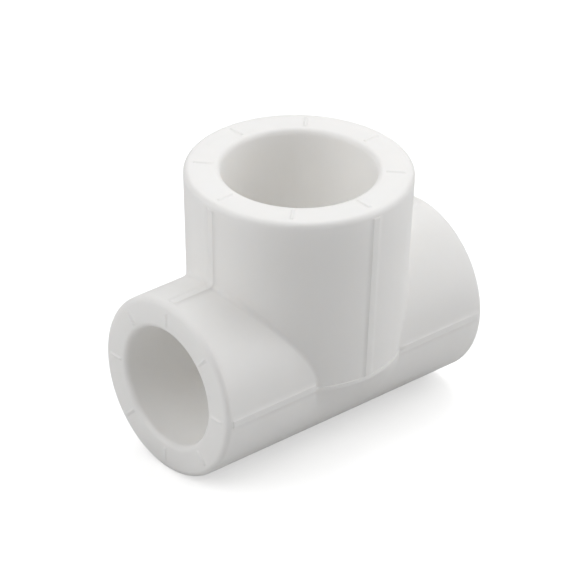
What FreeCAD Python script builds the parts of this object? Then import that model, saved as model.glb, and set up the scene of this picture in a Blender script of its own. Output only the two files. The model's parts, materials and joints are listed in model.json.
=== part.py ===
import FreeCAD, Part
import math
import os

# Reducing tee for socket fusion welding of 20 mm and 25 mm polypropylene pipe, in millimetres.
# It is one injection moulding, so it is one solid in one node.
# The run lies along X and the branch rises along +Z, larger than the run.
# The origin is on the line that the run rests on, straight below the crossing of the two axes.

# Sockets: the pipe goes in as far as a shoulder, and a narrower waterway carries on behind it
run_socket_radius = 9.55
run_socket_depth = 14.5
run_wall = 4.95
run_waterway_radius = 7.0
branch_socket_radius = 11.95
branch_socket_depth = 16.0
branch_wall = 5.6
branch_waterway_radius = 9.2
run_stop_wall = 2.35       # between the branch waterway and the floor of a run socket
branch_stop_wall = 3.35    # between a run socket and the floor of the branch socket
stop_chamfer = 0.5         # on the inner edge of each shoulder

# Rounding and draft
rim_radius = 0.9           # outer edge of each end face
mouth_radius = 0.85        # inner edge of each end face
branch_draft = 1.8         # degrees, the branch narrows towards the run
junction_fillet = 1.0
seam_step = 0.15           # the mould halves meet level with the run's axis and leave this ledge
touch_bite = 0.08          # how far the overhang's straight lines sink into the run where they meet it

# Raised marks that help to line up the pipes
guide_width = 1.25         # the flat ribs along the run and up the branch
guide_height = 0.15
guide_setback = 1.0        # from an end face to the end of a rib
tick_count = 8             # the short radial ridges on each end face
tick_foot = 0.7
tick_crest = 0.2
tick_height = 0.25
tick_start = 0.1           # shares of the width of the flat ring
tick_end = 0.84

# What follows from them
run_radius = run_socket_radius + run_wall
branch_radius = branch_socket_radius + branch_wall
run_stop = branch_waterway_radius + run_stop_wall
half_run = run_stop + run_socket_depth
branch_stop = run_socket_radius + branch_stop_wall
branch_reach = branch_stop + branch_socket_depth
draft_slope = math.tan(math.radians(branch_draft))
foot_radius = branch_radius - draft_slope * branch_reach
overhang_radius = foot_radius + seam_step
overhang_drop = guide_width / 2
touch_radius = run_radius - touch_bite
axis_height = run_radius + guide_height

up = FreeCAD.Vector(0, 0, 1)
along = FreeCAD.Vector(1, 0, 0)
crossing = FreeCAD.Vector(0, 0, 0)
far = 4 * (half_run + branch_reach)


def outline(points):
    """A closed face in the XZ plane. A point that holds three values is the middle of an arc."""
    edges = []
    last = None
    middle = None
    for point in points + [points[0]]:
        spot = FreeCAD.Vector(point[0], 0, point[1])
        if len(point) == 3:
            middle = spot
            continue
        if middle is not None:
            edges.append(Part.Arc(last, middle, spot).toShape())
        elif last is not None:
            edges.append(Part.LineSegment(last, spot).toShape())
        last = spot
        middle = None
    return Part.Face(Part.Wire(edges))


def arc_middle(centre_across, centre_up, radius, angle):
    """The middle of a rounding, at an angle in degrees from the across direction."""
    turn = math.radians(angle)
    return (centre_across + radius * math.cos(turn), centre_up + radius * math.sin(turn), "arc")


def turned(points):
    """A solid of revolution about Z. Each point is a radius and a height."""
    return outline(points).revolve(crossing, up, 360)


def laid_along(shape):
    """A shape made about Z, laid so that its axis points along X."""
    laid = shape.copy()
    laid.rotate(crossing, FreeCAD.Vector(0, 1, 0), 90)
    return laid


def run_outside():
    """The run's outer cylinder, with both rims rounded."""
    flat = run_radius - rim_radius
    shoulder = half_run - rim_radius
    points = [
        (0, -half_run),
        (flat, -half_run),
        arc_middle(flat, -shoulder, rim_radius, -45),
        (run_radius, -shoulder),
        (run_radius, shoulder),
        arc_middle(flat, shoulder, rim_radius, 45),
        (flat, half_run),
        (0, half_run),
    ]
    return laid_along(turned(points))


def branch_outside():
    """The branch from the level of the run's axis up to its face, with draft and a rounded rim."""
    flat = branch_radius - rim_radius
    shoulder = branch_reach - rim_radius
    points = [
        (0, 0),
        (foot_radius, 0),
        (branch_radius, shoulder),
        arc_middle(flat, shoulder, rim_radius, 45),
        (flat, branch_reach),
        (0, branch_reach),
    ]
    return turned(points)


def overhang_section(share):
    """Where the overhang starts and where it touches the run, in the slice at this share of its half length."""
    reach = math.hypot(overhang_radius, overhang_drop)
    end = math.sqrt(reach ** 2 - ((touch_radius + run_radius) / 2) ** 2)
    across = math.sqrt(overhang_radius ** 2 - (share * end) ** 2)
    turn = math.atan2(overhang_drop, across)
    turn += math.acos(touch_radius / math.hypot(across, overhang_drop))
    start = FreeCAD.Vector(share * end, across, -overhang_drop)
    touch = FreeCAD.Vector(share * end, touch_radius * math.cos(turn), -touch_radius * math.sin(turn))
    return start, touch


def belly():
    """One side of what carries the branch's overhang: straight lines from the band's lower edge to the run."""
    sections = [overhang_section(number / 12 - 1) for number in range(25)]
    starts = [start for start, touch in sections]
    touches = [touch for start, touch in sections]
    turns = [math.asin(start.x / overhang_radius) for start in starts]
    brow = Part.Arc(starts[0], starts[12], starts[-1])
    foot = Part.BSplineCurve()
    foot.interpolate(Points=touches, Parameters=[turn - turns[0] for turn in turns])
    roots = [FreeCAD.Vector(start.x, 0, start.z) for start in (starts[0], starts[-1])]
    brow_edge = brow.toShape()
    foot_edge = foot.toShape()
    root_edge = Part.LineSegment(roots[0], roots[1]).toShape()
    left = Part.makePolygon([starts[0], touches[0], roots[0], starts[0]])
    right = Part.makePolygon([starts[-1], touches[-1], roots[1], starts[-1]])
    top = Part.Wire([
        brow_edge,
        Part.LineSegment(starts[-1], roots[1]).toShape(),
        root_edge,
        Part.LineSegment(roots[0], starts[0]).toShape(),
    ])
    faces = [
        Part.makeRuledSurface(brow_edge, foot_edge),
        Part.makeRuledSurface(foot_edge, root_edge),
        Part.Face(top),
        Part.Face(left),
        Part.Face(right),
    ]
    shell = Part.makeShell(faces)
    shell.sewShape()
    return Part.makeSolid(shell)


def overhang():
    """The band level with the run's side ribs, and below it the belly on both sides."""
    band = Part.makeCylinder(overhang_radius, overhang_drop, FreeCAD.Vector(0, 0, -overhang_drop))
    near = belly()
    other = near.copy()
    other.rotate(crossing, up, 180)
    return [band, near, other]


def at_junction(edge):
    """Does this edge lie on the run's wall and on the branch's wall at once?"""
    for share in (0.25, 0.5, 0.75):
        point = edge.valueAt(edge.FirstParameter + share * (edge.LastParameter - edge.FirstParameter))
        branch_here = foot_radius + (branch_radius - foot_radius) * point.z / (branch_reach - rim_radius)
        if abs(math.hypot(point.y, point.z) - run_radius) > 0.01:
            return False
        if abs(math.hypot(point.x, point.y) - branch_here) > 0.01:
            return False
    return True


def outside():
    """The whole outer form: the upper half with its junction rounded, then the lower half."""
    above = Part.makeBox(2 * far, 2 * far, far, FreeCAD.Vector(-far, -far, 0))
    run = run_outside()
    upper = run.common(above).fuse(branch_outside()).removeSplitter()
    upper = upper.makeFillet(junction_fillet, [edge for edge in upper.Edges if at_junction(edge)])
    lower = run.cut(above)
    if overhang_radius > run_radius:
        lower = lower.fuse(overhang())
    return upper.fuse(lower)


def run_guide():
    """One rib along the top of the run, from near one end face to near the other."""
    reach = half_run - guide_setback
    root = run_radius - run_wall / 2
    corner = FreeCAD.Vector(-reach, -guide_width / 2, root)
    return Part.makeBox(2 * reach, guide_width, run_radius + guide_height - root, corner)


def branch_guide():
    """One rib up the branch on its +X side, leaning with the draft."""
    top = branch_reach - guide_setback
    lean = (branch_radius - foot_radius) * top / (branch_reach - rim_radius)
    root = foot_radius - branch_wall / 2
    side = outline([
        (root, 0),
        (foot_radius + guide_height, 0),
        (foot_radius + lean + guide_height, top),
        (root, top),
    ])
    side.translate(FreeCAD.Vector(0, -guide_width / 2, 0))
    return side.extrude(FreeCAD.Vector(0, guide_width, 0))


def guides():
    """Four ribs round the run and four round the branch, a quarter turn apart."""
    ribs = []
    for quarter in range(4):
        round_run = run_guide()
        round_run.rotate(crossing, along, 90 * quarter)
        ribs.append(round_run)
        round_branch = branch_guide()
        round_branch.rotate(crossing, up, 90 * quarter)
        ribs.append(round_branch)
    return ribs


def end_ticks(socket_radius, wall, reach):
    """The radial ridges of one end face, which looks along +Z at the given height."""
    inner = socket_radius + mouth_radius
    ring = wall - mouth_radius - rim_radius
    start = inner + tick_start * ring
    finish = inner + tick_end * ring
    bury = tick_height
    ticks = []
    for number in range(tick_count):
        section = Part.makePolygon([
            FreeCAD.Vector(start, -tick_foot / 2, reach - bury),
            FreeCAD.Vector(start, -tick_foot / 2, reach),
            FreeCAD.Vector(start, -tick_crest / 2, reach + tick_height),
            FreeCAD.Vector(start, tick_crest / 2, reach + tick_height),
            FreeCAD.Vector(start, tick_foot / 2, reach),
            FreeCAD.Vector(start, tick_foot / 2, reach - bury),
            FreeCAD.Vector(start, -tick_foot / 2, reach - bury),
        ])
        tick = Part.Face(section).extrude(along * (finish - start))
        tick.rotate(crossing, up, 360 * number / tick_count)
        ticks.append(tick)
    return ticks


def all_ticks():
    """The ridges of the branch face and of both run faces."""
    ticks = end_ticks(branch_socket_radius, branch_wall, branch_reach)
    for tick in end_ticks(run_socket_radius, run_wall, half_run):
        right = laid_along(tick)
        left = right.copy()
        left.rotate(crossing, up, 180)
        ticks.extend([right, left])
    return ticks


def socket_core(socket_radius, waterway_radius, stop, reach):
    """What is hollow from the crossing out through one mouth along +Z."""
    mouth = socket_radius + mouth_radius
    points = [
        (0, 0),
        (waterway_radius, 0),
        (waterway_radius, stop - stop_chamfer),
        (waterway_radius + stop_chamfer, stop),
        (socket_radius, stop),
        (socket_radius, reach - mouth_radius),
        arc_middle(mouth, reach - mouth_radius, mouth_radius, 135),
        (mouth, reach),
        (mouth, reach + rim_radius),
        (0, reach + rim_radius),
    ]
    return turned(points)


def hollow():
    """The sockets and waterways. The branch's waterway ends in a ball, so the flow turns smoothly."""
    right = laid_along(socket_core(run_socket_radius, run_waterway_radius, run_stop, half_run))
    left = right.copy()
    left.rotate(crossing, up, 180)
    rising = socket_core(branch_socket_radius, branch_waterway_radius, branch_stop, branch_reach)
    ball = Part.makeSphere(branch_waterway_radius)
    return [right, left, rising, ball]


def tee_body():
    """The moulding, lifted so that it stands on the ground plane."""
    body = outside().fuse(guides()).cut(hollow()).fuse(all_ticks()).removeSplitter()
    body.translate(FreeCAD.Vector(0, 0, axis_height))
    return body


os.makedirs("parts", exist_ok=True)
body = tee_body()
body.exportStep("parts/tee_body.step")
box = body.optimalBoundingBox(True, False)
print("tee_body: solids", len(body.Solids), "valid", body.isValid(), "volume", round(body.Volume, 1))
print("size", round(box.XLength, 3), round(box.YLength, 3), round(box.ZLength, 3), "lowest", round(box.ZMin, 4))
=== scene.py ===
import json
import math

import bpy
import bmesh
from mathutils import Matrix, Vector


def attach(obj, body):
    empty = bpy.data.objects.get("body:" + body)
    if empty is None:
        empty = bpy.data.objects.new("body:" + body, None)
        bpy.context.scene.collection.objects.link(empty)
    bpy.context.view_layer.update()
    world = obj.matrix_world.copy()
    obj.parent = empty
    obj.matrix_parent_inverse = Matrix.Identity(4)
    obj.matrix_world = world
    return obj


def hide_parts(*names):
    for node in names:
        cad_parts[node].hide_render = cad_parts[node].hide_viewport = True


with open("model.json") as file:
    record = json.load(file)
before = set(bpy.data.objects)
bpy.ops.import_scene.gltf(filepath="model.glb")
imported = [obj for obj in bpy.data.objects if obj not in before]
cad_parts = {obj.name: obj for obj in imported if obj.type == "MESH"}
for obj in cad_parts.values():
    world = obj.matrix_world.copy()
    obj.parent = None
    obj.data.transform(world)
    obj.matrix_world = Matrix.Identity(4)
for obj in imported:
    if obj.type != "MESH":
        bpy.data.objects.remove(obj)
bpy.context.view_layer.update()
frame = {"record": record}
scene = bpy.context.scene
mounts = {m["name"]: m for m in frame["record"]["mounts"]}
runMount = mounts["run_socket_right"]
branchMount = mounts["branch_socket"]
axisHeight = 1000 * runMount["pos_m"][2]
print("frame loaded, the run's axis is", round(axisHeight, 3), "mm up")


# camera, at the height and turn from which the fitting is looked at
camera = {
    "turn": -41.653,       # degrees round from the front
    "height": 30.573,      # degrees above the table
    "tilt": 1.2,           # degrees that the frame leans
    "distance": 603.76,    # millimetres, as the next three
    "aimUp": 9.567,        # above the crossing of the axes
    "slideRight": 0.442,
    "slideUp": 2.495,
    "lens": 240.89,
}


def makeCamera(s):
    turn, height, tilt = (math.radians(s[k]) for k in ("turn", "height", "tilt"))
    back = Vector((math.sin(turn) * math.cos(height), -math.cos(turn) * math.cos(height), math.sin(height)))
    right = Vector((0, 0, 1)).cross(back).normalized()
    up = back.cross(right)
    leanRight = right * math.cos(tilt) + up * math.sin(tilt)
    leanUp = up * math.cos(tilt) - right * math.sin(tilt)
    place = Vector((0, 0, axisHeight + s["aimUp"])) + back * s["distance"]
    place -= leanRight * s["slideRight"] + leanUp * s["slideUp"]
    data = bpy.data.cameras.new("camera")
    data.lens = s["lens"]
    data.sensor_width = 36
    data.clip_start = 0.01
    data.clip_end = 20
    shooter = bpy.data.objects.new("camera", data)
    scene.collection.objects.link(shooter)
    axes = Matrix((leanRight, leanUp, back)).transposed().to_4x4()
    shooter.matrix_world = Matrix.Translation(place / 1000) @ axes
    scene.camera = shooter


makeCamera(camera)


class NodeBench:    # short ways to place and join nodes in one tree
    def __init__(self, tree):
        self.tree = tree

    def add(self, kind, inputs=(), **settings):
        node = self.tree.nodes.new(kind)
        for name, value in settings.items():
            setattr(node, name, value)
        for socket, value in dict(inputs).items():
            if isinstance(value, bpy.types.NodeSocket):
                self.tree.links.new(value, node.inputs[socket])
            else:
                node.inputs[socket].default_value = value
        return node

    def math(self, operation, a, b=0.0, c=0.0):
        return self.add("ShaderNodeMath", {0: a, 1: b, 2: c}, operation=operation).outputs[0]

    def soft(self, value, start, end):    # eases from 0 at start to 1 at end
        node = self.add("ShaderNodeMapRange", {0: value, 1: start, 2: end}, interpolation_type="SMOOTHSTEP")
        return node.outputs[0]

    def named(self, name, kind="FLOAT"):
        node = self.add("GeometryNodeInputNamedAttribute", {"Name": name}, data_type=kind)
        return next(socket for socket in node.outputs if socket.enabled)

    def tidy(self):    # columns from left to right by how far a node is from the inputs
        depth = {node: 0 for node in self.tree.nodes}
        for sweep in range(30):
            for link in self.tree.links:
                depth[link.to_node] = max(depth[link.to_node], depth[link.from_node] + 1)
        filled = {}
        for node, column in depth.items():
            filled[column] = filled.get(column, 0) + 1
            node.location = (220 * column, -190 * filled[column])


# studio: a white table with big soft lamps over and beside it
studio = {
    "world": 0.01,
    "tableGlow": 0.45,       # the table is lit from below as well, so it is nearly white
    "tableBounce": 0.65,     # what it gives back to the fitting
    "lamps": {
        "overhead": {"size": 1.4, "watts": 2.4, "place": (0.0, 0.0, 1.0)},
        "highBack": {"size": 1.0, "watts": 3.4, "place": (0.368, 0.409, 0.953)},
        "lowLeft": {"size": 0.9, "watts": 3.9, "place": (-0.863, 0.498, 0.465)},
        "highLeft": {"size": 0.9, "watts": 3.0, "place": (-0.704, -0.062, 0.843)},
        "lowRight": {"size": 0.9, "watts": 5.0, "place": (0.705, -0.705, 0.465)},
        "highRight": {"size": 0.9, "watts": 2.0, "place": (0.778, 0.0, 0.778)},
        "lowBack": {"size": 0.9, "watts": 1.7, "place": (0.667, 0.741, 0.465)},
    },
}


def softLamp(name, s):
    data = bpy.data.lights.new(name, "AREA")
    data.shape = "SQUARE"
    data.size = s["size"]
    data.energy = s["watts"]
    lamp = bpy.data.objects.new(name, data)
    scene.collection.objects.link(lamp)
    lamp.location = s["place"]
    lamp.rotation_euler = (Vector((0, 0, 0.02)) - Vector(s["place"])).to_track_quat("-Z", "Y").to_euler()


def makeStudio(s):
    for name, lamp in s["lamps"].items():
        softLamp(name, lamp)
    world = bpy.data.worlds.new("studio")
    world.use_nodes = True
    world.node_tree.nodes["Background"].inputs["Color"].default_value = (1, 1, 1, 1)
    world.node_tree.nodes["Background"].inputs["Strength"].default_value = s["world"]
    scene.world = world
    scene.view_settings.view_transform = "Standard"
    paper = bpy.data.materials.new("table top")
    paper.use_nodes = True
    bench = NodeBench(paper.node_tree)
    shader = paper.node_tree.nodes["Principled BSDF"]
    shader.inputs["Base Color"].default_value = (0.9, 0.9, 0.9, 1)
    shader.inputs["Roughness"].default_value = 0.9
    shader.inputs["Emission Color"].default_value = (1, 1, 1, 1)
    shader.inputs["Emission Strength"].default_value = s["tableGlow"]
    dim = bench.add("ShaderNodeBsdfDiffuse", {"Color": (s["tableBounce"],) * 3 + (1,)})
    seen = bench.add("ShaderNodeLightPath").outputs["Is Camera Ray"]
    both = bench.add("ShaderNodeMixShader", {0: seen, 1: dim.outputs[0], 2: shader.outputs[0]})
    paper.node_tree.links.new(both.outputs[0], paper.node_tree.nodes["Material Output"].inputs["Surface"])
    mesh = bpy.data.meshes.new("table")
    mesh.from_pydata([(-3, -3, 0), (3, -3, 0), (3, 3, 0), (-3, 3, 0)], [], [(0, 1, 2, 3)])
    mesh.materials.append(paper)
    table = bpy.data.objects.new("table", mesh)
    scene.collection.objects.link(table)


makeStudio(studio)
print("camera, lamps and table ready")


# the moulding, in millimetres from the point where the axes of the run and the branch cross
tee = {
    "runWall": 4.95,
    "branchWall": 5.6,
    "draft": 1.8,            # degrees, the branch narrows downwards
    "rimRound": 0.9,
    "mouthRound": 0.85,
    "junctionRound": 1.0,
    "floorRound": 0.3,       # corner at the floor of a socket
    "shoulderRound": 0.5,
    "runShoulder": 11.55,
    "branchShoulder": 12.9,
    "runWaterway": 7.0,
    "branchWaterway": 9.2,
    "seamStep": 0.15,        # ledge where the mould halves meet, level with the run's axis
    "bandDrop": 0.625,       # the ledge's band is as deep as the lower half of a side guide
    "guideSetback": 1.0,
    "tickStart": 0.1,
    "tickEnd": 0.84,
}
runSocket = runMount["dims"]["r_mm"]
branchSocket = branchMount["dims"]["r_mm"]
runRadius = runSocket + tee["runWall"]
branchRadius = branchSocket + tee["branchWall"]
halfRun = 1000 * runMount["pos_m"][0] + tee["mouthRound"]
branchReach = 1000 * branchMount["pos_m"][2] - axisHeight + tee["mouthRound"]
footRadius = branchRadius - math.tan(math.radians(tee["draft"])) * branchReach
bandRadius = footRadius + tee["seamStep"]

# mesh lines beside the middle of a guide or a tick, so that its edges come out crisp
guideLines = (0.08, 0.15, 0.25, 0.36, 0.46, 0.545, 0.625, 0.705)
tickLines = (0.08, 0.15, 0.25, 0.36, 0.44)
seamLines = (0.02, 0.04, 0.06)
ledgeSlope = ((0.12, 0.004), (0.08, 0.02), (0.045, 0.04), (0.02, 0.08), (0.005, 0.15))    # inwards, down
plainFact = {"outward": (0, 0, 0), "across": 9.0, "fromFace": 9.0, "share": 1.0, "ringShare": -9.0}


def between(first, last, count):
    return [first + (last - first) * k / (count + 1) for k in range(1, count + 1)]


def ease(t):
    t = min(1.0, max(0.0, t))
    return t * t * (3 - 2 * t)


def mix(a, b, t):
    return a + (b - a) * t


def angleOf(line, radius):    # a line has an angle in degrees and a distance to the side of it
    return math.radians(line[0]) + math.asin(line[1] / radius)


def fan(first, last, radius, count):    # lines spread evenly between two others
    ends = [math.degrees(angleOf(line, radius)) for line in (first, last)]
    return [(angle, 0.0) for angle in between(ends[0], ends[1], count)]


def branchAt(height):
    return mix(footRadius, branchRadius, height / (branchReach - tee["rimRound"]))


def junctionBall(angle):    # centre of the ball that rounds the junction, at this angle round the run
    reach = runRadius + tee["junctionRound"]
    y, z = reach * math.sin(angle), reach * math.cos(angle)
    return Vector((math.sqrt((branchAt(z) + tee["junctionRound"]) ** 2 - y * y), y, z))


def runLines():    # round the run, from its top to its side, and from there to its bottom
    tick = [-u for u in reversed(tickLines)] + [0] + list(tickLines)
    start = [(0, u) for u in (0,) + guideLines]
    upperTick = [(45, u) for u in tick]
    side = [(90, -u) for u in reversed(guideLines)] + [(90, 0)]
    upper = start + fan(start[-1], upperTick[0], runRadius, 11)
    upper += upperTick + fan(upperTick[-1], side[0], runRadius, 12) + side
    below = [(90, u) for u in seamLines + guideLines]
    lowerTick = [(135, u) for u in tick]
    bottom = [(180, -u) for u in reversed(guideLines)] + [(180, 0)]
    lower = below + fan(below[-1], lowerTick[0], runRadius, 14)
    lower += lowerTick + fan(lowerTick[-1], bottom[0], runRadius, 11) + bottom
    return upper, lower


def branchLines(upper):    # round the branch; the first ones are paired with the run's upper lines
    side = junctionBall(math.pi / 2)
    sideLine = (math.degrees(math.atan2(side.y, side.x)), 0.0)
    start = [line for line in upper if line[0] == 0]
    tick = [line for line in upper if line[0] == 45]
    first = upper.index(tick[0])
    last = upper.index(tick[-1])
    lines = start + fan(start[-1], tick[0], branchRadius, first - len(start))
    lines += tick + fan(tick[-1], sideLine, branchRadius, len(upper) - last - 2) + [sideLine]
    front = [(90, -u) for u in reversed(guideLines)] + [(90, 0)]
    return lines + fan(sideLine, front[0], branchRadius, 10) + front


upperLines, lowerLines = runLines()
topLines = branchLines(upperLines)
paired = len(upperLines)
points, facts, faces, known = [], [], [], {}


def put(point, **fact):    # a vertex, or the one that is there already
    key = tuple(round(v, 4) + 0.0 for v in point)
    if key not in known:
        known[key] = len(points)
        points.append(tuple(point))
        facts.append(dict(plainFact, **fact))
    return known[key]


def weave(columns):    # faces between neighbouring columns of vertices
    for left, right in zip(columns, columns[1:]):
        for k in range(len(left) - 1):
            corners = []
            for corner in (left[k], left[k + 1], right[k + 1], right[k]):
                if corner not in corners:
                    corners.append(corner)
            if len(corners) > 2:
                faces.append(corners)


def endRows(face):    # rows near an end of a wall, crisp where the guides stop
    stop = face - tee["guideSetback"]
    return [stop - 0.3, stop - 0.15, stop - 0.07, stop, stop + 0.05, face - tee["rimRound"]]


def branchColumn(number):
    top = angleOf(topLines[number], branchRadius)
    end, low = top, 0.0
    if number < paired:
        centre = junctionBall(angleOf(upperLines[number], runRadius))
        end, low = math.atan2(centre.y, centre.x), centre.z
    rows = endRows(branchReach)
    heights = [low, low + 0.1] + between(low + 0.1, rows[0], 12) + rows
    column = []
    for z in reversed(heights):
        angle = mix(top, end, ease((heights[-1] - z) / (heights[-1] - low)))
        if number >= paired:
            angle = angleOf(topLines[number], branchAt(z))
        outward = (math.cos(angle), math.sin(angle), 0)
        x, y = branchAt(z) * outward[0], branchAt(z) * outward[1]
        across = y if number < paired else x
        column.append(put((x, y, z), outward=outward, across=across, fromFace=branchReach - z))
    return column


def roundingColumn(number):    # over the rounded junction, from the branch to the run
    angle = angleOf(upperLines[number], runRadius)
    centre = junctionBall(angle)
    turn = math.atan2(centre.y, centre.x)
    start = Vector((-math.cos(turn), -math.sin(turn), 0))
    end = Vector((0, -math.sin(angle), -math.cos(angle)))
    column = []
    for k in range(7):
        way = start.slerp(end, k / 6)
        place = centre + way * tee["junctionRound"]
        if k == 0:
            radius = branchAt(centre.z)
            place = Vector((radius * math.cos(turn), radius * math.sin(turn), centre.z))
        across = place.y if angle < 1 else 9.0
        column.append(put(place, outward=tuple(-way), across=across))
    return column


def upperRunColumn(number):
    line = upperLines[number]
    angle = angleOf(line, runRadius)
    start = junctionBall(angle).x
    rows = endRows(halfRun)
    column = []
    for k, x in enumerate([start, start + 0.1, start + 0.25] + between(start + 0.25, rows[0], 12) + rows):
        y, z = runRadius * math.sin(angle), runRadius * math.cos(angle)
        across = y if angle < 1 else abs(z) if k > 1 else 9.0
        outward = (0, math.sin(angle), math.cos(angle))
        column.append(put((x, y, z), outward=outward, across=across, fromFace=halfRun - x))
    return column


def lowerSection(x, top, ledge):    # from the seam down to the run's lowest line, at one place along the run
    drop = tee["bandDrop"]
    out = math.sqrt(bandRadius ** 2 - x * x) if x < bandRadius else 0.0
    lean = None
    if math.hypot(out, drop) > runRadius and out > 0:
        lean = math.atan2(drop, out) + math.acos(runRadius / math.hypot(out, drop))
    section = [top]
    for number, line in enumerate(lowerLines):
        u = line[1]
        angle = angleOf(line, runRadius)
        fact = {"fromFace": halfRun - x, "outward": (0, math.sin(angle), math.cos(angle))}
        if line[0] == 90 and u < 0.7 or line[0] == 90 and lean is None:
            wall = math.sqrt(runRadius ** 2 - u * u)
            y, z = max(out, wall), -u
            fact["across"] = u
            fact["share"] = min(1.0, max(0.0, (wall + tee["seamStep"] - y) / tee["seamStep"]))
            if number < len(ledgeSlope) and ledge:
                y = max(out, runRadius) - ledgeSlope[number][0]
                z = -ledgeSlope[number][1]
                fact["across"] = 0
        elif line[0] == 90:
            y, z = (runRadius - u * math.sin(lean)) / math.cos(lean), -u
            fact["across"] = u
        else:
            reach = runRadius
            if lean is not None:
                reach = runRadius / math.cos(max(0.0, lean - (angle - math.pi / 2)))
            y, z = reach * math.sin(angle), reach * math.cos(angle)
            fact["across"] = y if line[0] == 180 else 9.0
        section.append(put((x, y, z), **fact))
    return section


def endPath(outer, socket, shoulder, waterway, face):    # radius, place along the axis, share of the ring
    rim, mouth, corner, nose = (tee[k] for k in ("rimRound", "mouthRound", "floorRound", "shoulderRound"))
    path = []
    for k in range(1, 7):
        turn = math.radians(15 * k)
        path.append((outer - rim + rim * math.cos(turn), face - rim + rim * math.sin(turn), None))
    begin, stop = tee["tickStart"], tee["tickEnd"]
    shares = [0.96, stop + 0.045, stop + 0.015, stop - 0.015, stop - 0.045]
    shares += between(stop - 0.045, begin + 0.045, 4)
    for share in shares + [begin + 0.045, begin + 0.015, begin - 0.015, begin - 0.045, 0.02]:
        path.append((mix(socket + mouth, outer - rim, share), face, share))
    for k in range(6):
        turn = math.radians(18 * k)
        path.append((socket + mouth - mouth * math.sin(turn), face - mouth + mouth * math.cos(turn), None))
    for place in [face - mouth - 0.15] + between(face - mouth - 0.15, shoulder + corner + 0.15, 3):
        path.append((socket, place, None))
    path.append((socket, shoulder + corner + 0.15, None))
    for k in range(4):
        turn = math.radians(30 * k)
        inwards, down = corner * (1 - math.cos(turn)), corner * math.sin(turn)
        path.append((socket - inwards, shoulder + corner - down, None))
    path.append((socket - corner - 0.08, shoulder, None))
    path.append((waterway + nose + 0.08, shoulder, None))
    for k in range(5):
        turn = math.radians(22.5 * k)
        path.append((waterway + nose - nose * math.sin(turn), shoulder - nose + nose * math.cos(turn), None))
    path.append((waterway, shoulder - nose - 0.15, None))
    return path


def runEndColumn(first, line):
    mouth = runSocket + tee["mouthRound"]
    column = [first]
    for radius, x, share in endPath(runRadius, runSocket, tee["runShoulder"], tee["runWaterway"], halfRun):
        angle = angleOf(line, max(radius, mouth))
        fact = {} if share is None else {"outward": (1, 0, 0), "ringShare": share}
        column.append(put((x, radius * math.sin(angle), radius * math.cos(angle)), **fact))
    across = tee["runWaterway"] * math.sin(angle) if angle < math.pi / 2 else tee["runWaterway"]
    meet = math.sqrt(tee["branchWaterway"] ** 2 - across ** 2)
    for x in between(x, meet, 2) + [meet]:
        column.append(put((x, radius * math.sin(angle), radius * math.cos(angle))))
    return column


def innerAngle(line):
    return angleOf(line, runSocket + tee["mouthRound"])


def branchEndColumn(first, number):
    line = topLines[number]
    mouth = branchSocket + tee["mouthRound"]
    column = [first]
    path = endPath(branchRadius, branchSocket, tee["branchShoulder"], tee["branchWaterway"], branchReach)
    for radius, z, share in path:
        angle = angleOf(line, max(radius, mouth))
        fact = {} if share is None else {"outward": (0, 0, 1), "ringShare": share}
        column.append(put((radius * math.cos(angle), radius * math.sin(angle), z), **fact))
    sideAngle = math.asin(tee["runWaterway"] / tee["branchWaterway"])
    if number < paired:
        inner = innerAngle(upperLines[number])
        end = math.asin(tee["runWaterway"] * math.sin(inner) / tee["branchWaterway"])
        low = tee["runWaterway"] * math.cos(inner)
    else:
        pairedAngle = angleOf(topLines[paired - 1], mouth)
        end = mix(sideAngle, math.pi / 2, (angle - pairedAngle) / (math.pi / 2 - pairedAngle))
        low = 0.0
    start, top = angle, z
    for z in between(top, low, 5) + [low]:
        angle = mix(start, end, ease((top - z) / (top - low)))
        column.append(put((radius * math.cos(angle), radius * math.sin(angle), z)))
    return column, end


def waterwaySection(top, turn):    # the branch's waterway ends in a ball
    x = tee["branchWaterway"] * math.cos(turn)
    radius = tee["branchWaterway"] * math.sin(turn)
    section = [top]
    for line in lowerLines:
        angle = innerAngle(line)
        section.append(put((x, radius * math.sin(angle), radius * math.cos(angle))))
    return section


def makeQuarter():
    walls = [branchColumn(number) for number in range(len(topLines))]
    weave(walls)
    weave([roundingColumn(number) for number in range(paired)])
    runs = [upperRunColumn(number) for number in range(paired)]
    weave(runs)
    outline = [column[-1] for column in reversed(walls[paired:])] + roundingColumn(paired - 1) + runs[-1][1:]
    ledgeEnd = points[runs[-1][1]][0] + 0.001
    sections = []
    for vertex in outline:
        x = points[vertex][0]
        sections.append(lowerSection(x, vertex, x < ledgeEnd))
    weave(sections)
    ends = [runEndColumn(runs[k][-1], line) for k, line in enumerate(upperLines)]
    ends += [runEndColumn(sections[-1][k + 1], line) for k, line in enumerate(lowerLines)]
    weave(ends)
    branchEnds = [branchEndColumn(walls[number][0], number) for number in range(len(topLines))]
    weave([column for column, turn in branchEnds])
    weave([waterwaySection(column[-1], turn) for column, turn in branchEnds[paired - 1:]])


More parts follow.
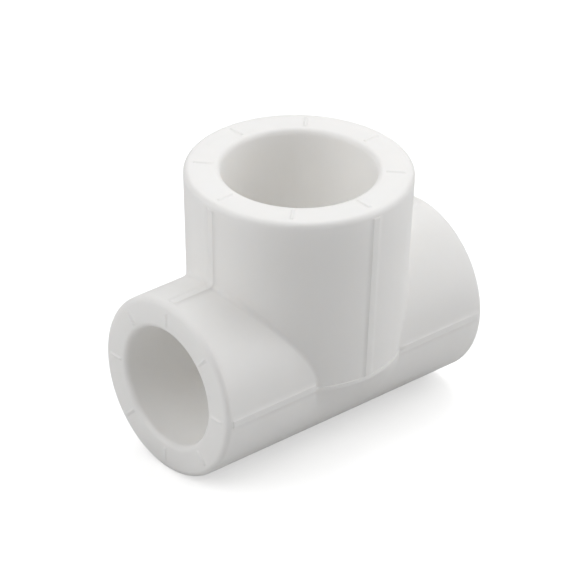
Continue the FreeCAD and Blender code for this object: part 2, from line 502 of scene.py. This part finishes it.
def makeBlank():    # the quarter and its three mirror images, still without guides and ticks
    makeQuarter()
    mesh = bpy.data.meshes.new("blank")
    count = len(points)
    allPoints, allFaces, allFacts = [], [], []
    for number, (sx, sy) in enumerate(((1, 1), (-1, 1), (-1, -1), (1, -1))):
        allPoints += [(sx * x, sy * y, z) for x, y, z in points]
        order = 1 if sx * sy > 0 else -1
        allFaces += [[corner + number * count for corner in face[::order]] for face in faces]
        for fact in facts:
            ox, oy, oz = fact["outward"]
            allFacts.append(dict(fact, outward=(sx * ox, sy * oy, oz)))
    mesh.from_pydata(allPoints, [], allFaces)
    for name in ("across", "fromFace", "share", "ringShare"):
        attribute = mesh.attributes.new(name, "FLOAT", "POINT")
        attribute.data.foreach_set("value", [float(fact[name]) for fact in allFacts])
    attribute = mesh.attributes.new("outward", "FLOAT_VECTOR", "POINT")
    attribute.data.foreach_set("vector", [float(v) for fact in allFacts for v in fact["outward"]])
    work = bmesh.new()
    work.from_mesh(mesh)
    bmesh.ops.remove_doubles(work, verts=work.verts, dist=0.0005)
    bmesh.ops.dissolve_degenerate(work, dist=0.0001, edges=work.edges)
    bmesh.ops.recalc_face_normals(work, faces=work.faces)
    openEdges = [edge for edge in work.edges if len(edge.link_faces) != 2]
    print("blank:", len(work.verts), "vertices,", len(work.faces), "faces,", len(openEdges), "open edges")
    work.to_mesh(mesh)
    work.free()
    blank = bpy.data.objects.new("tee_moulding", mesh)
    scene.collection.objects.link(blank)
    return blank


# guides and ticks, raised by a tree that reads where each vertex lies beside them
marks = {
    "Guide Width": 1.25,
    "Guide Height": 0.15,
    "Guide Setback": 1.0,
    "Edge Softness": 0.16,
    "Tick Count": 8,         # on each end face
    "Tick Foot": 0.72,
    "Tick Crest": 0.16,
    "Tick Height": 0.2, 
    "Tick Start": 0.1,       # shares of the width of the flat ring
    "Tick End": 0.84,
    "Tick End Softness": 0.06,
}


def raisedMarksTree(s):
    tree = bpy.data.node_groups.new("raise guides and ticks", "GeometryNodeTree")
    face = tree.interface
    face.new_socket("Geometry", in_out="INPUT", socket_type="NodeSocketGeometry")
    for name, value in s.items():
        kind = "NodeSocketInt" if isinstance(value, int) else "NodeSocketFloat"
        face.new_socket(name, in_out="INPUT", socket_type=kind).default_value = value
    face.new_socket("Material", in_out="INPUT", socket_type="NodeSocketMaterial")
    face.new_socket("Geometry", in_out="OUTPUT", socket_type="NodeSocketGeometry")
    bench = NodeBench(tree)
    size = bench.add("NodeGroupInput").outputs
    # guides: full height under half their width, none past it, and they stop short of the end faces
    halfWidth = bench.math("MULTIPLY", size["Guide Width"], 0.5)
    halfSoft = bench.math("MULTIPLY", size["Edge Softness"], 0.5)
    outer = bench.math("ADD", halfWidth, halfSoft)
    inner = bench.math("SUBTRACT", halfWidth, halfSoft)
    guide = bench.soft(bench.named("across"), outer, inner)
    begin = size["Guide Setback"]
    full = bench.math("ADD", size["Guide Setback"], size["Edge Softness"])
    guide = bench.math("MULTIPLY", guide, bench.soft(bench.named("fromFace"), begin, full))
    guide = bench.math("MULTIPLY", guide, bench.named("share"))
    guide = bench.math("MULTIPLY", guide, size["Guide Height"])
    # ticks: the same sector again and again round the ring, with a ridge along its middle
    place = bench.add("ShaderNodeSeparateXYZ", {0: bench.add("GeometryNodeInputPosition").outputs[0]}).outputs
    facing = bench.named("outward", "FLOAT_VECTOR")
    axial = bench.add("ShaderNodeSeparateXYZ", {0: facing}).outputs
    onBranch = bench.math("GREATER_THAN", axial[2], 0.5)
    first = bench.math("MULTIPLY_ADD", onBranch, bench.math("SUBTRACT", place[0], place[2]), place[2])
    angle = bench.math("ARCTAN2", place[1], first)
    sector = bench.math("DIVIDE", math.tau, size["Tick Count"])
    half = bench.math("MULTIPLY", sector, 0.5)
    angle = bench.math("WRAP", angle, half, bench.math("MULTIPLY", half, -1.0))
    squares = bench.math("MULTIPLY_ADD", place[1], place[1], bench.math("MULTIPLY", first, first))
    radius = bench.math("SQRT", squares)
    beside = bench.math("ABSOLUTE", bench.math("MULTIPLY", radius, bench.math("SINE", angle)))
    foot = bench.math("MULTIPLY", size["Tick Foot"], 0.5)
    crest = bench.math("MULTIPLY", size["Tick Crest"], 0.5)
    tick = bench.soft(beside, foot, crest)
    ring = bench.named("ringShare")
    blur = bench.math("MULTIPLY", size["Tick End Softness"], 0.5)
    tickStart, tickEnd = size["Tick Start"], size["Tick End"]
    low = bench.soft(ring, bench.math("SUBTRACT", tickStart, blur), bench.math("ADD", tickStart, blur))
    high = bench.soft(ring, bench.math("ADD", tickEnd, blur), bench.math("SUBTRACT", tickEnd, blur))
    tick = bench.math("MULTIPLY", tick, low)
    tick = bench.math("MULTIPLY", tick, bench.math("MULTIPLY", high, size["Tick Height"]))
    raised = bench.add("ShaderNodeVectorMath", {0: facing}, operation="SCALE")
    tree.links.new(bench.math("ADD", guide, tick), raised.inputs["Scale"])
    moved = bench.add("GeometryNodeSetPosition", {"Geometry": size["Geometry"], "Offset": raised.outputs[0]})
    real = bench.add("GeometryNodeRealizeInstances", {"Geometry": moved.outputs[0]})
    finish = {"Geometry": real.outputs[0], "Material": size["Material"]}
    painted = bench.add("GeometryNodeSetMaterial", finish)
    bench.add("NodeGroupOutput", {"Geometry": painted.outputs[0]})
    bench.tidy()
    return tree


def setInput(modifier, name, value):
    for item in modifier.node_group.interface.items_tree:
        if item.item_type == "SOCKET" and item.in_out == "INPUT" and item.name == name:
            modifier[item.identifier] = value


def raiseMarks(blank, s, material):
    modifier = blank.modifiers.new("raised marks", "NODES")
    modifier.node_group = raisedMarksTree(s)
    for name, value in s.items():
        setInput(modifier, name, value)
    setInput(modifier, "Material", material)
    bpy.context.view_layer.update()
    done = bpy.data.meshes.new_from_object(blank.evaluated_get(bpy.context.evaluated_depsgraph_get()))
    blank.modifiers.remove(modifier)
    blank.data = done
    for name in ("across", "fromFace", "share", "ringShare", "outward"):
        done.attributes.remove(done.attributes[name])
    done.transform(Matrix.Translation((0, 0, axisHeight / 1000)) @ Matrix.Scale(0.001, 4))
    for polygon in done.polygons:
        polygon.use_smooth = True
    done.set_sharp_from_angle(angle=math.radians(60))
    print("guides and ticks raised:", len(done.vertices), "vertices")
    return blank


# satin white polypropylene, with the grain of the mould and what handling leaves on it
plastic = {
    "colour": (0.985, 0.972, 0.948, 1),
    "aged": (0.94, 0.925, 0.89, 1),        # where flow lines and handling show
    "roughness": 0.4,
    "grainMatt": 0.24,                     # how far the grain, smudges and scratches change it
    "smudgeGloss": 0.16,
    "scratchMatt": 0.2,
    "flowTint": 0.22,                      # shares of the aged colour
    "smudgeTint": 0.5,
    "speckTint": 0.6,
    "scratchDeep": 0.004,                  # millimetres
    "speckHigh": 0.01,
    "subsurface": 0.4,
    "depth": 0.006,                        # metres that light travels inside, at most
    "grain": {"Grain Size": 0.32, "Grain Height": 0.0035, "Swell Size": 7.0, "Swell Height": 0.035,
              "Flow Length": 26.0, "Flow Height": 0.006},
    "handling": {"Smudge Size": 11.0, "Smudge Amount": 0.3, "Scratch Spacing": 5.0, "Scratch Width": 0.03,
                 "Speck Spacing": 2.6, "Speck Size": 0.16},
}


def shaderGroup(name, sizes, results):
    tree = bpy.data.node_groups.new(name, "ShaderNodeTree")
    for socket, value in sizes.items():
        tree.interface.new_socket(socket, in_out="INPUT", socket_type="NodeSocketFloat").default_value = value
    for socket in results:
        tree.interface.new_socket(socket, in_out="OUTPUT", socket_type="NodeSocketFloat")
    bench = NodeBench(tree)
    return tree, bench, bench.add("NodeGroupInput").outputs


def spots(bench, place, millimetres, **look):    # noise whose spots are this big
    sockets = {"Vector": place, "Scale": bench.math("DIVIDE", 1000.0, millimetres)}
    sockets.update((name.capitalize(), value) for name, value in look.items())
    return bench.add("ShaderNodeTexNoise", sockets).outputs[0]


def mouldGrainGroup(sizes):    # height in millimetres, and where the surface is more matt
    tree, bench, size = shaderGroup("mould grain", sizes, ("Height", "Matt", "Flow"))
    spot = bench.add("ShaderNodeTexCoord").outputs["Object"]
    grain = spots(bench, spot, size["Grain Size"], detail=3.0, roughness=0.6)
    swell = spots(bench, spot, size["Swell Size"], detail=1.0, roughness=0.4)
    # melt flowed away from the gate, so its lines are long up the branch and short round it
    squeeze = 0.16
    squeezed = bench.add("ShaderNodeVectorMath", {0: spot, 1: (1.0, 1.0, squeeze)}, operation="MULTIPLY")
    flowWidth = bench.math("MULTIPLY", size["Flow Length"], squeeze)
    flow = spots(bench, squeezed.outputs[0], flowWidth, detail=2.0, distortion=0.6)
    height = bench.math("MULTIPLY", grain, size["Grain Height"])
    height = bench.math("ADD", height, bench.math("MULTIPLY", swell, size["Swell Height"]))
    height = bench.math("ADD", height, bench.math("MULTIPLY", flow, size["Flow Height"]))
    matt = bench.math("ADD", bench.math("MULTIPLY", grain, 0.6), bench.math("MULTIPLY", flow, 0.4))
    bench.add("NodeGroupOutput", {"Height": height, "Matt": matt, "Flow": bench.soft(flow, 0.42, 0.68)})
    bench.tidy()
    return tree


def handlingGroup(sizes):    # finger smudges, fine scratches and dust specks, each as a mask
    tree, bench, size = shaderGroup("handling marks", sizes, ("Smudge", "Scratch", "Speck"))
    spot = bench.add("ShaderNodeTexCoord").outputs["Object"]
    cloud = spots(bench, spot, size["Smudge Size"], detail=5.0, roughness=0.55)
    smudge = bench.math("MULTIPLY", bench.soft(cloud, 0.5, 0.66), size["Smudge Amount"])
    # a scratch is where a warped noise crosses its middle value, kept only in a few patches
    warp = spots(bench, spot, size["Scratch Spacing"], detail=0.0, distortion=1.4)
    slope = bench.math("DIVIDE", size["Scratch Width"], size["Scratch Spacing"])
    line = bench.soft(bench.math("ABSOLUTE", bench.math("SUBTRACT", warp, 0.5)), slope, 0.0)
    scratch = bench.math("MULTIPLY", line, bench.soft(cloud, 0.54, 0.6))
    cellScale = bench.math("DIVIDE", 1000.0, size["Speck Spacing"])
    cells = bench.add("ShaderNodeTexVoronoi", {"Vector": spot, "Scale": cellScale}).outputs
    reach = bench.math("DIVIDE", size["Speck Size"], size["Speck Spacing"])
    few = bench.add("ShaderNodeSeparateColor", {0: cells["Color"]}).outputs[0]
    kept = bench.math("GREATER_THAN", few, 0.82)
    speck = bench.math("MULTIPLY", bench.soft(cells["Distance"], reach, 0.0), kept)
    bench.add("NodeGroupOutput", {"Smudge": smudge, "Scratch": scratch, "Speck": speck})
    bench.tidy()
    return tree


def polypropylene(s):
    material = bpy.data.materials.new("moulded polypropylene")
    material.use_nodes = True
    bench = NodeBench(material.node_tree)
    shader = material.node_tree.nodes["Principled BSDF"]
    shader.inputs["IOR"].default_value = 1.49
    shader.inputs["Subsurface Weight"].default_value = s["subsurface"]
    shader.inputs["Subsurface Radius"].default_value = (1.0, 0.95, 0.9)
    shader.inputs["Subsurface Scale"].default_value = s["depth"]
    grain = bench.add("ShaderNodeGroup", node_tree=mouldGrainGroup(s["grain"])).outputs
    handled = bench.add("ShaderNodeGroup", node_tree=handlingGroup(s["handling"])).outputs
    worn = bench.math("MULTIPLY", grain["Flow"], s["flowTint"])
    worn = bench.math("MULTIPLY_ADD", handled["Smudge"], s["smudgeTint"], worn)
    worn = bench.math("MULTIPLY_ADD", handled["Speck"], s["speckTint"], worn)
    colour = bench.add("ShaderNodeMix", {0: worn, 6: s["colour"], 7: s["aged"]}, data_type="RGBA").outputs[2]
    rough = bench.math("MULTIPLY_ADD", grain["Matt"], s["grainMatt"], s["roughness"] - s["grainMatt"] / 2)
    rough = bench.math("MULTIPLY_ADD", handled["Smudge"], -s["smudgeGloss"], rough)
    rough = bench.math("MULTIPLY_ADD", handled["Scratch"], s["scratchMatt"], rough)
    height = bench.math("MULTIPLY_ADD", handled["Scratch"], -s["scratchDeep"], grain["Height"])
    height = bench.math("MULTIPLY_ADD", handled["Speck"], s["speckHigh"], height)
    bump = bench.add("ShaderNodeBump", {"Height": height, "Distance": 0.001, "Strength": 0.8})
    for socket, value in (("Base Color", colour), ("Roughness", rough), ("Normal", bump.outputs[0])):
        material.node_tree.links.new(value, shader.inputs[socket])
    bench.tidy()
    return material


body = raiseMarks(makeBlank(), marks, polypropylene(plastic))
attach(body, "root")
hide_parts("tee_body")
